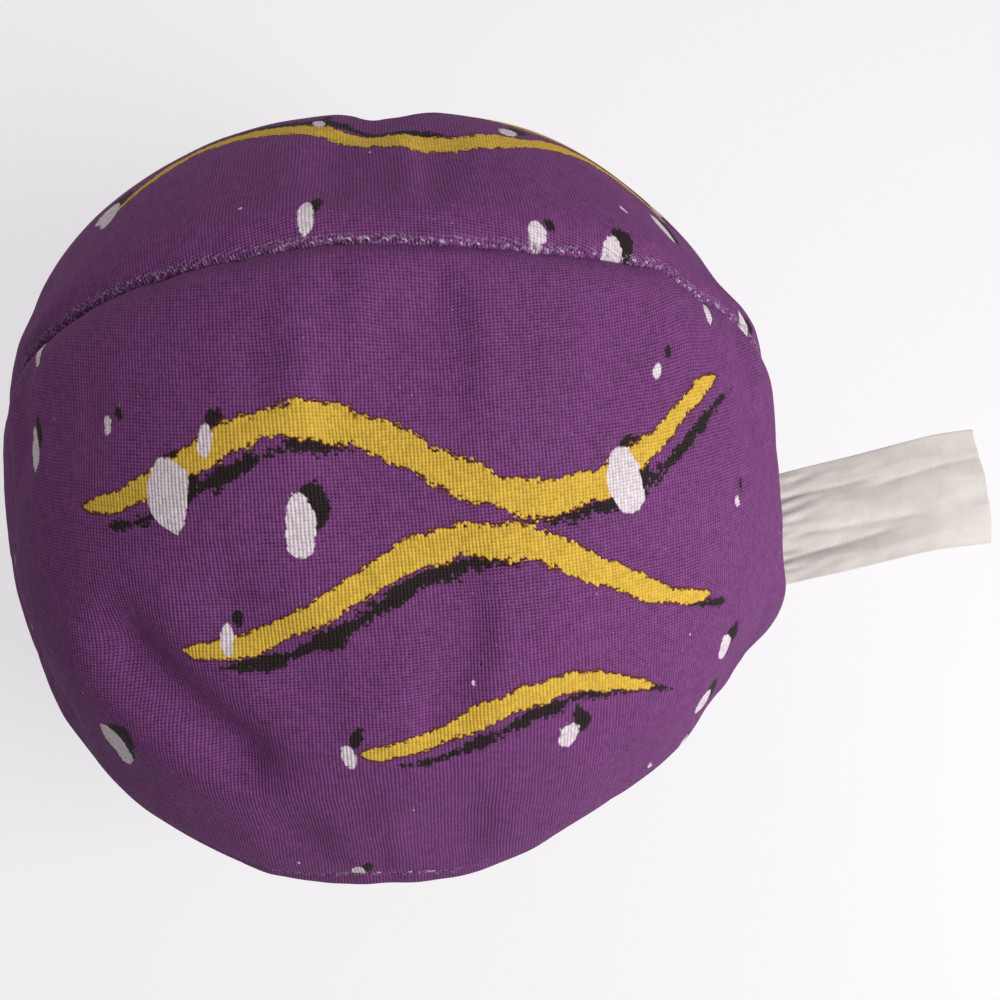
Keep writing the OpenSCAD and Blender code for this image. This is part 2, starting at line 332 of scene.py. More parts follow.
# the finished cover surface: drawn in at the seams, simulated, dented and a little lumpy from the beads
lumps = {
    "broad": 0.30 * mm, "broadSize": 19 * mm, "fine": 0.09 * mm, "fineSize": 7 * mm,
    "floorFade": 4 * mm, "floorClear": 0.05 * mm,
}


def lumpAt(point):
    broad = lumps["broad"] * noise.noise(Vector(point) / lumps["broadSize"])
    return broad + lumps["fine"] * noise.noise(Vector(point) / lumps["fineSize"])


def coverPoint(t, f, depth):
    t, f, depth = np.broadcast_arrays(t, f, depth)
    turned = strayed(t, f)
    plain = skinPoint(t, turned, 0)
    lump = np.array([lumpAt(p) for p in plain.reshape(-1, 3)]).reshape(t.shape)
    raised = plain[..., 2] / (plain[..., 2] + lumps["floorFade"])
    inward = drawnIn(t, f) + dentDepth(plain) * raised + lump + depth
    points = skinPoint(t, turned, inward) + swollen(t, f)
    points[..., 2] = np.maximum(points[..., 2], lumps["floorClear"])
    return points


# sewn panels; each edge is turned into its seam, pinched at every stitch and gathered a little
panels = {
    "names": ["topPanel", "backPanel", "basePanel", "frontPanel"],
    "nodes": ["top_panel", "back_panel", "base_panel", "front_panel"],
    "stations": 173, "tipR": 0.06 * mm, "middle": 17, "edgeShare": 2.6,
    "edge": [0.20, 0.19, 0.27, 0.5, 0.95, 1.7, 2.8, 4.4, 6.6, 9.6, 13.5],
    "turnIn": [1.7, 1.0, 0.46, 0.16, 0.03, 0, 0, 0, 0, 0, 0],
    "stitch": 2.8 * mm, "pinch": 0.34 * mm, "pinchReach": 1.4 * mm, "shy": 0.14 * mm, "shyReach": 0.9 * mm,
    "gather": 0.42 * mm, "gatherSize": 4.2 * mm, "gatherLong": 14 * mm, "gatherReach": 5 * mm,
    "panelSeed": 7.3, "sideSeed": 31,
    "overhang": [(-0.1, -0.4), (0.6, 0.1), (0.1, 0.1), (0.1, 0.25)], "overhangReach": 4 * mm,
    "setBack": [(0.1, 0.5), (-0.25, 0), (0, 0), (0, 0)], "setBackReach": 2 * mm,
    "thick": 0.5 * mm, "floorClear": 0.02 * mm, "fill": 0.92,
}


def panelPiece(index):
    rows = stationsBy(panels["stations"], panels["tipR"])
    arcs = arcAt(rows)
    turn0 = turnOf[seamNames[index]]
    edge = np.array(panels["edge"]) * mm
    turnIn = np.array(panels["turnIn"]) * mm
    overhang = np.array(panels["overhang"][index]) * mm
    setBack = np.array(panels["setBack"][index]) * mm
    steps = np.arange(1, panels["middle"] + 1)
    places, depths, reaches = [], [], []
    for t, arc in zip(rows, arcs):
        r = float(girth(t))
        wide = r * math.radians(ball["span"])
        # edges narrow towards the tips, and what is on them fades there
        narrow = min(1, wide / (panels["edgeShare"] * edge[-1]))
        fineFade = min(1, 3 * narrow)
        broadFade = min(1, 2 * narrow)
        inner = edge[-1] * narrow + (wide - 2 * edge[-1] * narrow) * steps / (panels["middle"] + 1)
        across = np.concatenate([edge * narrow, inner, wide - edge[::-1] * narrow])
        reach = np.minimum(across, wide - across)
        side = (across > wide / 2).astype(int)
        pinch = 0.5 + 0.5 * math.cos(fullTurn * arc / panels["stitch"])
        fold = np.concatenate([turnIn, np.zeros(panels["middle"]), turnIn[::-1]]) * fineFade
        near = np.exp(-reach / panels["pinchReach"]) * fineFade
        rise = overhang[side] * np.exp(-(reach / panels["overhangReach"]) ** 2) * broadFade
        seeds = panels["panelSeed"] * index + panels["sideSeed"] * side
        gather = np.array([
            noise.noise(Vector((arc / panels["gatherSize"], seed, d / panels["gatherLong"])))
            for seed, d in zip(seeds, reach)])
        gather *= panels["gather"] * np.exp(-reach / panels["gatherReach"]) * broadFade
        shy = panels["shy"] * (1 - pinch) * np.exp(-reach / panels["shyReach"]) * fineFade
        shy += setBack[side] * np.exp(-reach / panels["setBackReach"]) * broadFade
        across = across + np.where(side == 0, shy, -shy)
        places.append(turn0 + np.degrees(across / r))
        depths.append(fold + panels["pinch"] * pinch * near - rise + gather)
        reaches.append(reach)
    f = np.array(places)
    t = np.repeat(rows[:, None], f.shape[1], axis=1)
    points = coverPoint(t, f, np.array(depths))
    points[..., 2] = np.maximum(points[..., 2], panels["thick"] + panels["floorClear"])
    u = np.repeat(arcs[:, None], f.shape[1], axis=1)
    v = girth(t) * np.radians(f - turn0 - ball["span"] / 2)
    pattern = np.stack([u, v], axis=-1).reshape(-1, 2)
    faces = gridFaces(*f.shape, False)
    piece = meshPiece(panels["names"][index], points.reshape(-1, 3), faces, "flatPattern", pattern)
    for key, values in (("seamReach", np.array(reaches)), ("panelTurn", np.full(f.shape, float(index)))):
        piece.data.attributes.new(key, "FLOAT", "POINT").data.foreach_set("value", values.ravel())
    addWall(piece, panels["thick"], -1)
    addSmooth(piece)
    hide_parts(panels["nodes"][index])
    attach(piece, "ball")
    return piece


panelPieces = [panelPiece(i) for i in range(4)]
print("panels made")


# a round thread along each path, capped at both ends
def threadMesh(name, paths, size, sides):
    points, faces, pattern = [], [], []
    for path in paths:
        base = len(points)
        along = np.gradient(path, axis=0)
        along /= np.linalg.norm(along, axis=1, keepdims=True)
        side = np.cross(along, path - ballMiddle)
        side /= np.linalg.norm(side, axis=1, keepdims=True)
        up = np.cross(side, along)
        run = np.concatenate([[0], np.cumsum(np.linalg.norm(np.diff(path, axis=0), axis=1))])
        for i in range(len(path)):
            for k in range(sides):
                a = fullTurn * k / sides
                points.append(path[i] + size / 2 * (math.cos(a) * side[i] + math.sin(a) * up[i]))
                pattern.append((run[i], k / sides))
        for i in range(len(path) - 1):
            for k in range(sides):
                a = base + i * sides + k
                b = base + i * sides + (k + 1) % sides
                faces.append((a, b, b + sides, a + sides))
        faces.append(tuple(base + k for k in reversed(range(sides))))
        faces.append(tuple(base + (len(path) - 1) * sides + k for k in range(sides)))
    piece = meshPiece(name, points, faces, "threadRun", pattern)
    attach(piece, "ball")
    return piece


# machine seams: the thread rises into sight at every stitch and slants across the gap
stitching = {
    "size": 0.36 * mm, "sides": 6, "perStitch": 14, "bar": 0.10, "plunge": 0.22, "dip": 1.5 * mm,
    "slant": 0.12 * mm, "uneven": 0.45 * mm, "unevenStep": 0.37, "unevenSeed": 1.7,
    "crest": {"front": -0.6 * mm, "top": -0.46 * mm, "back": -0.14 * mm, "under": -0.14 * mm},
    "tight": 0.3 * mm, "tightFrom": 92, "tightTo": 128, "tipR": 3 * mm, "labelR": 31 * mm,
}
# hand stitch that closes the filling gap in the back seam, a ladder of rungs
closing = {
    "length": 60 * mm, "rung": 5 * mm, "wide": 2.4 * mm, "size": 0.45 * mm, "sides": 6, "steps": 6,
    "lie": 0.16 * mm, "bow": 0.22 * mm, "clear": 1.2,
}


def machineSeam(seam, t0, t1):
    arc0, arc1 = arcAt(t0), arcAt(t1)
    count = int(abs(arc1 - arc0) / panels["stitch"] * stitching["perStitch"])
    arcs = np.linspace(arc0, arc1, count)
    t = stationAtArc(arcs)
    beat = np.mod(arcs / panels["stitch"] + 0.5, 1) - 0.5
    which = np.floor(arcs / panels["stitch"] + 0.5) * stitching["unevenStep"]
    slip = np.array([noise.noise(Vector((k, turnOf[seam], stitching["unevenSeed"]))) for k in which])
    tight = np.clip((t - stitching["tightFrom"]) / (stitching["tightTo"] - stitching["tightFrom"]), 0, 1)
    crest = stitching["crest"][seam] + stitching["uneven"] * slip + stitching["tight"] * tight
    dive = np.clip((np.abs(beat) - stitching["bar"]) / stitching["plunge"], 0, 1)
    dip = crest + (stitching["dip"] - crest) * eased(dive)
    home = np.clip((0.5 - np.abs(beat)) / (0.5 - stitching["bar"]), 0, 1)
    across = stitching["slant"] * np.clip(beat / stitching["bar"], -1, 1) * home
    return coverPoint(t, turnOf[seam] + np.degrees(across / girth(t)), dip)


def seamThread(name, node, paths):
    piece = threadMesh(name, paths, stitching["size"], stitching["sides"])
    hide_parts(node)
    return piece


rightTip = float(stationAt(stitching["tipR"]))
leftTip = 180 - rightTip
labelStation = float(stationAt(stitching["labelR"]))
closingHalf = math.degrees(closing["length"] / 2 / ball["halfLen"])
roundLeftTip = np.concatenate([
    machineSeam("front", labelStation, leftTip),
    machineSeam("back", leftTip, 90 + closingHalf + closing["clear"])])
toRightTip = machineSeam("back", 90 - closingHalf - closing["clear"], rightTip)
seamThreads = [
    seamThread("topSeamThread", "top_seam_thread", [machineSeam("top", rightTip, leftTip)]),
    seamThread("underSeamThread", "under_seam_thread", [machineSeam("under", rightTip, leftTip)]),
    seamThread("perimeterSeamThread", "perimeter_seam_thread", [roundLeftTip, toRightTip]),
]


def closingLadder():
    count = round(closing["length"] / closing["rung"])
    stops = []
    for i in range(count + 1):
        for k in (0, 1):
            stops.append((90 - closingHalf + 2 * closingHalf * i / count, 1 if (i + k) % 2 == 0 else -1))
    share = np.linspace(0, 1, closing["steps"], endpoint=False)
    t, side = [], []
    for (ta, sa), (tb, sb) in zip(stops[:-1], stops[1:]):
        t.extend(ta + (tb - ta) * share)
        side.extend(sa + (sb - sa) * eased(share))
    t = np.array(t)
    side = np.array(side)
    across = closing["wide"] / 2 * side
    lie = -closing["lie"] - closing["bow"] * (1 - np.abs(side))
    return coverPoint(t, turnOf["back"] + np.degrees(across / girth(t)), lie)


closingStitch = threadMesh("closingStitch", [closingLadder()], closing["size"], closing["sides"])
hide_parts("closing_stitch")

# short broken fibres that stand up along the turned-in edges; lengths, band and rise are in mm
fuzz = {
    "seed": 11, "count": {"front": 1300, "top": 700, "back": 420, "under": 420}, "sideShare": (0.3, 0.7),
    "long": (0.5, 1.5), "size": 0.075 * mm, "sides": 3, "steps": 4, "tipClear": 7 * mm, "band": (0.25, 0.8),
    "rise": {"front": (0.1, 0.45), "top": (0.05, 0.22), "back": (0.05, 0.22), "under": (0.05, 0.22)},
    "lean": 0.7, "over": 0.8, "sunk": 0.12 * mm, "arch": 2.2, "crestAt": 0.7,
}


def seamFuzz():
    draw = np.random.default_rng(fuzz["seed"])
    farthest = halfArc - fuzz["tipClear"]
    paths = []
    for number, seam in enumerate(seamNames):
        count = fuzz["count"][seam]
        arcs = draw.uniform(-farthest, farthest, count)
        side = draw.choice([-1, 1], count, p=fuzz["sideShare"])
        reach = draw.uniform(*fuzz["band"], count) * mm
        fold = np.interp(reach / mm, panels["edge"][1:], panels["turnIn"][1:]) * mm
        lift = np.where(side > 0, panels["overhang"][number][0], panels["overhang"][number - 1][1]) * mm
        base = fold - lift - panels["thick"] + fuzz["sunk"]
        long = draw.uniform(*fuzz["long"], count) * mm
        lean = draw.normal(0, fuzz["lean"], count)
        over = -side * long * np.cos(lean) * fuzz["over"]
        along = long * np.sin(lean)
        rise = draw.uniform(*fuzz["rise"][seam], count) * mm + fuzz["sunk"]
        strands = []
        for step in np.linspace(0, 1, fuzz["steps"]):
            place = stationAtArc(arcs + along * step)
            turn = turnOf[seam] + np.degrees((side * reach + over * step) / girth(place))
            arch = math.sin(fuzz["arch"] * step) / math.sin(fuzz["arch"] * fuzz["crestAt"])
            strands.append(coverPoint(place, turn, base - rise * arch))
        paths += list(np.stack(strands, axis=1))
    return threadMesh("seamFuzz", paths, fuzz["size"], fuzz["sides"])


seamFibres = seamFuzz()
print("stitching made")

# bead bag: two halves of thin cloth under the cover, and their thread
bag = {
    "depth": 2.6 * mm, "thick": 0.4 * mm, "gap": 0.4 * mm, "tipR": 1.0 * mm, "stations": 64, "columns": 28,
    "fill": 0.9, "threadSize": 0.3 * mm, "threadSides": 5, "threadPoints": 260, "threadEnd": 6 * mm,
    "sway": 0.5 * mm, "swayRun": 4 * mm,
}
bagHalves = [("bagFrontHalf", "under", "bag_front_half"), ("bagBackHalf", "top", "bag_back_half")]


def layerGrid(name, turn0, spans, depth, gap, closed):
    rows = stationsBy(bag["stations"], bag["tipR"])
    count = spans * bag["columns"]
    share = np.arange(count) / count if closed else np.linspace(0, 1, count + 1)
    ease = np.degrees(gap / 2 / girth(rows))[:, None]
    f = turn0 + ease + (spans * ball["span"] - 2 * ease) * share[None, :]
    t = np.repeat(rows[:, None], f.shape[1], axis=1)
    points = coverPoint(t, f, depth).reshape(-1, 3)
    faces = gridFaces(*f.shape, closed)
    if closed:
        points = np.concatenate([points, bothTips(depth)])
        faces += tipFaces(*f.shape)
    return meshPiece(name, points, faces)


bagPieces = []
for name, seam, node in bagHalves:
    half = layerGrid(name, turnOf[seam], 2, bag["depth"], bag["gap"], False)
    addWall(half, bag["thick"], -1)
    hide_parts(node)
    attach(half, "ball")
    bagPieces.append(half)

bagRuns = []
bagArcs = np.linspace(-halfArc + bag["threadEnd"], halfArc - bag["threadEnd"], bag["threadPoints"])
for seam in ("top", "under"):
    t = stationAtArc(bagArcs)
    sway = bag["sway"] * np.sin(fullTurn * bagArcs / bag["swayRun"])
    bagRuns.append(coverPoint(t, turnOf[seam] + np.degrees(sway / girth(t)), bag["depth"] + bag["thick"] / 2))
bagThread = threadMesh("bagThread", bagRuns, bag["threadSize"], bag["threadSides"])
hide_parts("bag_thread")

# the beads: one closed form, drawn in a little between one bead and the next
filling = {"depth": 3.6 * mm, "bead": 3.4 * mm, "dimple": 1.0 * mm, "most": 0.8, "fill": 0.95}

beads = layerGrid("beadFill", turnOf["front"], 4, filling["depth"], 0, True)
for vertex in beads.data.vertices:
    point = vertex.co.copy()
    near = noise.voronoi(point / filling["bead"])[0][0]
    inward = (Vector(ballMiddle) - point).normalized()
    vertex.co = point + inward * min(near, filling["most"]) * filling["dimple"]
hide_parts("bead_fill")
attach(beads, "ball")
print("bead bag made")

# ribbon label, in the plane of the perimeter seam: p runs out along the ball, q towards the front;
# a crease is its place across, its slope, where it starts and ends along the ribbon and its depth, in mm
label = {
    "rootP": (78.0527 * mm, 71.1616 * mm), "rootQ": (1.7786 * mm, 28.2214 * mm), "middleQ": 15 * mm,
    "skew": 10.5, "length": 56 * mm, "cut": 12, "wide": 26 * mm, "tail": 5 * mm, "flat": 67 * mm,
    "thick": 0.16 * mm, "rows": 74, "columns": 50, "curl": 2.5 * mm, "twist": 2.6 * mm,
    "freeFrom": 4 * mm, "rootFade": 9 * mm, "bendStart": 0.5 * mm, "bendEnd": 6 * mm,
    "crinkle": {"high": 1.1 * mm, "across": 1.5 * mm, "along": 7 * mm, "lean": 0, "seed": 3.1},
    "wave": {"high": 0.8 * mm, "across": 9 * mm, "along": 26 * mm, "lean": 0, "seed": 8.4},
    "sharp": {"high": 0.36 * mm, "across": 5.5 * mm, "along": 30 * mm, "lean": 6, "seed": 5.7},
    "roll": {"high": 0.5 * mm, "turn": 3.1, "start": 0.6, "slope": 30},
    "corner": {"high": 12 * mm, "across": 0.5, "along": 0.75},
    "fray": {"high": 0.25 * mm, "across": 0.9 * mm, "seed": (0.4, 2.2)},
    "creaseWide": 0.9 * mm, "creaseStart": 5 * mm, "creaseEnd": 7 * mm,
    "creases": [
        (-7, 0.02, 0, 30, 0.5), (-3, -0.06, 24, 60, 0.45),
        (1.5, 0.07, 6, 42, 0.4), (7.5, -0.05, 0, 34, 0.55)],
}


def limited(x):
    return min(max(x, 0), 1)


def ripple(form, w, s):
    return noise.noise(Vector((w / form["across"] + form["lean"] * s, s / form["along"], form["seed"])))


# how far the ribbon stands off its plane, s along it from the root and w across it
def labelLift(s, w):
    out = max(s, 0) / label["length"]
    root = math.exp(-max(s, 0) / label["rootFade"])
    crinkle = ripple(label["crinkle"], w, s) * label["crinkle"]["high"] * root
    wave = ripple(label["wave"], w, s) * label["wave"]["high"]
    sharp = label["sharp"]["high"] * (0.5 - 2 * abs(ripple(label["sharp"], w, s)))
    form = label["roll"]
    roll = form["high"] * math.sin(form["turn"] * out * math.pi + form["start"] + form["slope"] * w) * out
    crease = 0.0
    for line, slope, start, end, deep in label["creases"]:
        held = limited((s - start * mm) / label["creaseStart"]) * limited((end * mm - s) / label["creaseEnd"])
        crease -= deep * mm * held * math.exp(-abs(w - line * mm - slope * s) / label["creaseWide"])
    twist = -label["twist"] * 2 * w / label["wide"] * out
    form = label["corner"]
    aside = max(abs(w) / (label["wide"] / 2) - form["across"], 0)
    corner = aside * max(out - form["along"], 0) * form["high"]
    free = eased(limited(s / label["freeFrom"]))
    return free * (crinkle + wave + roll + sharp + crease) + twist - label["curl"] * out * out - corner


def labelPiece():
    turn = math.radians(ball["seamTurn"])
    towards = np.array([0, -math.cos(turn), math.sin(turn)])
    above = np.array([0, math.sin(turn), math.cos(turn)])
    run = np.array([math.cos(math.radians(label["skew"])), -math.sin(math.radians(label["skew"]))])
    share = np.linspace(0, 1, label["columns"])
    p = label["rootP"][0] + (label["rootP"][1] - label["rootP"][0]) * share
    q = label["rootQ"][0] + (label["rootQ"][1] - label["rootQ"][0]) * share
    across = (share - 0.5) * label["wide"]
    rootAlong = p * run[0] + q * run[1]
    middle = rootAlong[0] + (rootAlong[-1] - rootAlong[0]) * (label["middleQ"] - q[0]) / (q[-1] - q[0])
    far = middle + label["length"] - across * math.tan(math.radians(label["cut"]))
    reach = far - rootAlong + label["tail"]
    points, pattern = [], []
    for i in range(label["rows"]):
        for j, w in enumerate(across):
            s = -label["tail"] + reach[j] * i / (label["rows"] - 1)
            end = s
            if i == label["rows"] - 1:
                fray = label["fray"]
                end += fray["high"] * noise.noise(Vector((w / fray["across"], *fray["seed"])))
            place = np.array([p[j] + end * run[0], 0, ball["centreZ"]])
            points.append(place + (q[j] + end * run[1]) * towards + labelLift(s, w) * above)
            pattern.append((s, w))
    faces = gridFaces(label["rows"], label["columns"], False)
    piece = meshPiece("ribbonLabel", points, faces, "flatPattern", pattern)
    bpy.ops.object.select_all(action="DESELECT")
    piece.select_set(True)
    bpy.context.view_layer.objects.active = piece
    addWall(piece, label["thick"], 0)
    addSmooth(piece)
    for made in ("wall", "smooth"):
        bpy.ops.object.modifier_apply(modifier=made)
    away = np.array([q[-1] - q[0], p[0] - p[-1]])
    away /= np.linalg.norm(away)
    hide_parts("label_tail", "label_tag")
    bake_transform(piece)
    return piece


ribbonLabel = labelPiece()
print("label made")


# shader maths: a socket that takes part in sums, and one way to make any other node
class Wire:
    def __init__(self, tree, socket=None):
        self.tree = tree
        self.socket = socket

    def make(self, kind, settings=None, values=None, out=0):
        node = self.tree.nodes.new(kind)
        for key, value in (settings or {}).items():
            setattr(node, key, value)
        for key, value in (values or {}).items():
            if isinstance(value, Wire):
                self.tree.links.new(value.socket, node.inputs[key])
            else:
                node.inputs[key].default_value = value
        return Wire(self.tree, node.outputs[out])

    def maths(self, operation, first, second=0.0):
        return self.make("ShaderNodeMath", {"operation": operation}, {0: first, 1: second})

    def __add__(self, other):
        return self.maths("ADD", self, other)

    def __radd__(self, other):
        return self.maths("ADD", other, self)

    def __sub__(self, other):
        return self.maths("SUBTRACT", self, other)

    def __rsub__(self, other):
        return self.maths("SUBTRACT", other, self)

    def __mul__(self, other):
        return self.maths("MULTIPLY", self, other)

    def __rmul__(self, other):
        return self.maths("MULTIPLY", other, self)

    def __truediv__(self, other):
        return self.maths("DIVIDE", self, other)

    def __pow__(self, other):
        return self.maths("POWER", self, other)

    def __mod__(self, other):
        return self.maths("MODULO", self, other)

    def __floor__(self):
        return self.maths("FLOOR", self)

    def __abs__(self):
        return self.maths("ABSOLUTE", self)

    def sin(self):
        return self.maths("SINE", self)

    def cos(self):
        return self.maths("COSINE", self)

    def part(self):
        return self.maths("FRACT", self)

    def most(self, other):
        return self.maths("MAXIMUM", self, other)

    def ramp(self, low, high):
        return self.make("ShaderNodeMapRange", {"interpolation_type": "SMOOTHSTEP"},
                         {"Value": self, "From Min": low, "From Max": high})

    def colour(self, under, over):
        return self.make("ShaderNodeMix", {"data_type": "RGBA"}, {0: self, 6: under, 7: over}, out=2)

    def shaded(self, base):
        grey = self.make("ShaderNodeCombineColor", None, {0: self, 1: self, 2: self})
        return self.make("ShaderNodeMix", {"data_type": "RGBA", "blend_type": "MULTIPLY"},
                         {0: 1.0, 6: base, 7: grey}, out=2)

    def other(self, output):
        return Wire(self.tree, self.socket.node.outputs[output])


def tint(r, g, b):
    linear = [c / 255 / 12.92 if c <= 10 else ((c / 255 + 0.055) / 1.055) ** 2.4 for c in (r, g, b)]
    return (*linear, 1.0)


def newMaterial(name):
    material = bpy.data.materials.new(name)
    material.use_nodes = True
    return material, material.node_tree.nodes["Principled BSDF"], Wire(material.node_tree)


def join(wire, shader, socket):
    wire.tree.links.new(wire.socket, shader.inputs[socket])


def joinBump(height, shader, bump):
    values = {"Strength": bump[0], "Distance": bump[1], "Height": height}
    join(height.make("ShaderNodeBump", None, values), shader, "Normal")


def flatCoords(wire, uvName):
    uv = wire.make("ShaderNodeUVMap", {"uv_map": uvName})
    along = wire.make("ShaderNodeSeparateXYZ", None, {0: uv})
    return uv, along, along.other(1)


def inSpace(wire):
    return wire.make("ShaderNodeTexCoord", None, None, out=3)


def grain(place, scale, detail=2.0, rough=0.5):
    return place.make("ShaderNodeTexNoise", {"noise_dimensions": "3D"},
                      {"Vector": place, "Scale": scale, "Detail": detail, "Roughness": rough})


# from 0 to 1 and back over each whole step of x
def swing(x):
    return (x * fullTurn).cos() * 0.5 + 0.5


# printed knit: loops with painted shade in the gaps between them, print bands like ripples on water,
# pale drops, flecks where a seam is pulled open; a band's sizes are in mm, a bump is (strength, height)
knit = {
    "wale": 0.56 * mm, "course": 0.50 * mm, "leg": 0.9, "wander": 0.5 * mm, "sag": 0.4 * mm,
    "bump": (0.8, 0.10 * mm), "pile": 0.25, "hole": 0.5, "holePowers": (1.5, 1.2), "gapPowers": (1.7, 1.9),
    # weights of the painted shade in the gaps between loops; gapOnInk is how much less of it falls on ink
    "courseGap": (0.34, 0.2), "waleGap": (-0.26, 0.4), "bothGap": 0.3,
    "rough": 0.82, "ridgeRough": -0.1, "holeRough": 0.08,
    "light": 1.2, "gapOnInk": 0.6, "mottle": 0.45, "loopMottle": 0.26,
    "purple": tint(128, 70, 128), "mustard": tint(219, 178, 69), "charcoal": tint(47, 38, 39),
    "white": tint(225, 211, 218), "rim": tint(96, 44, 40), "fleck": tint(206, 178, 208),
    "sheen": tint(190, 130, 190),
    "bands": [
        {"v": 24, "amp": 6.5, "wave": 74, "phase": 0.4, "mid": -4, "reach": 56, "half": 2.5},
        {"v": 5, "amp": 7.5, "wave": 83, "phase": 2.3, "mid": -8, "reach": 45, "half": 2.3},
        {"v": -15, "amp": 4.0, "wave": 58, "phase": 4.0, "mid": -15, "reach": 26, "half": 1.8},
    ],
    "panelPhase": 1.9, "bandTilt": 0.9, "bandTaper": 0.6, "bandRag": (0.35 * mm, 0.6),
    "bandEnd": (0.9 * mm, 0.2 * mm), "bandCut": 2 * mm, "bandEdge": (-0.05 * mm, 0.28 * mm),
    "bandShade": (4.6 * mm, -2.4 * mm), "bandShadeRag": (1.6, -0.5),
    "rimEdge": (-0.34 * mm, -0.1 * mm), "inkEdge": 0.16 * mm, "ragged": 2.6, "raggedLoop": 0.45,
    "spotCell": 21 * mm, "spotStretch": (1.24, 0.82), "spotFrom": 0.42, "spotSize": 0.36,
    "spotRag": 0.7 * mm, "spotWarp": (5 * mm, 6 * mm),
    "spotShade": (1.9 * mm, -2.3 * mm), "spotShadeRag": (1.26 * mm, -0.27 * mm),
    "slackRange": (0.36, 0.64), "slackReach": (15 * mm, 4 * mm), "slackSeam": 0.85,
    "fleckRange": (0.5, 0.66), "fleckReach": (1.4 * mm, 0.3 * mm), "fleckMost": 0.6,
    "lintRange": (0.76, 0.8), "lintMost": 0.3,
    "grain": {
        "wander": 160.0, "sag": 210.0, "slack": 60.0, "rag": 130.0, "warpU": 95.0, "warpV": 118.0,
        "pile": 1500.0, "fleck": 1250.0, "lint": 900.0, "mottle": 420.0,
    },
}


def bandMask(u, v, turn, rag):
    found = None
    for band in knit["bands"]:
        angle = u * (fullTurn / (band["wave"] * mm)) + (turn * knit["panelPhase"] + band["phase"])
        sway = angle.sin() * (band["amp"] * mm)
        away = abs(v - (sway + band["v"] * mm)) * knit["bandTilt"]
        place = (u - band["mid"] * mm) / (band["reach"] * mm)
        wide = (1 - place * place).most(0.0) ** knit["bandTaper"] * (band["half"] * mm)
        inside = wide - away + rag * (knit["bandRag"][0] + knit["bandRag"][1] * wide)
        inside = inside - wide.ramp(*knit["bandEnd"]) * knit["bandCut"]
        found = inside if found is None else found.most(inside)
    return found


def spotMask(u, v):
    wide, tall = knit["spotStretch"]
    at = u.make("ShaderNodeCombineXYZ", None, {0: u * wide, 1: v * tall, 2: 0.0})
    spot = u.make("ShaderNodeTexVoronoi", {"voronoi_dimensions": "2D"},
                  {"Vector": at, "Scale": 1 / knit["spotCell"], "Randomness": 1.0})
    lot = u.make("ShaderNodeSeparateColor", None, {0: spot.other(1)})
    return ((lot - knit["spotFrom"]).most(0.0) * knit["spotSize"] - spot) * knit["spotCell"]


